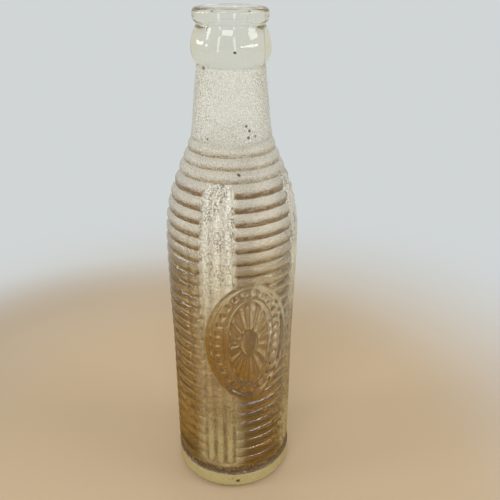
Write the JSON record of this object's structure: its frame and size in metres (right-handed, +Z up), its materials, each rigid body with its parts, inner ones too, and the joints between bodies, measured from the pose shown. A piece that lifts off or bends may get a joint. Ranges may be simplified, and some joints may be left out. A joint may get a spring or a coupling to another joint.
{
  "type": "glass soda bottle",
  "caption": "Slim ribbed glass soda bottle with a crown finish, stippled neck, plain vertical bands of raised bars, an oval medallion and a thick smooth base; open and empty.",
  "frame": {"origin": "middle of the standing ring, on the plane that the bottle stands on", "axes": "+Z up the bottle's axis to the mouth; -Y is the front, through the middle of one plain band; the medallion lies 28 degrees round from it towards +X"},
  "size_m": [0.052, 0.0522, 0.1981],
  "materials": {
    "straw_glass": "pale straw glass, finely stippled outside, smooth on the finish and the base"
  },
  "bodies": {
    "root": {"base": "straw_glass", "lower_body": "straw_glass", "medallion_body": "straw_glass", "upper_body": "straw_glass", "shoulder": "straw_glass", "neck": "straw_glass", "crown_finish": "straw_glass"}
  },
  "joints": []
}
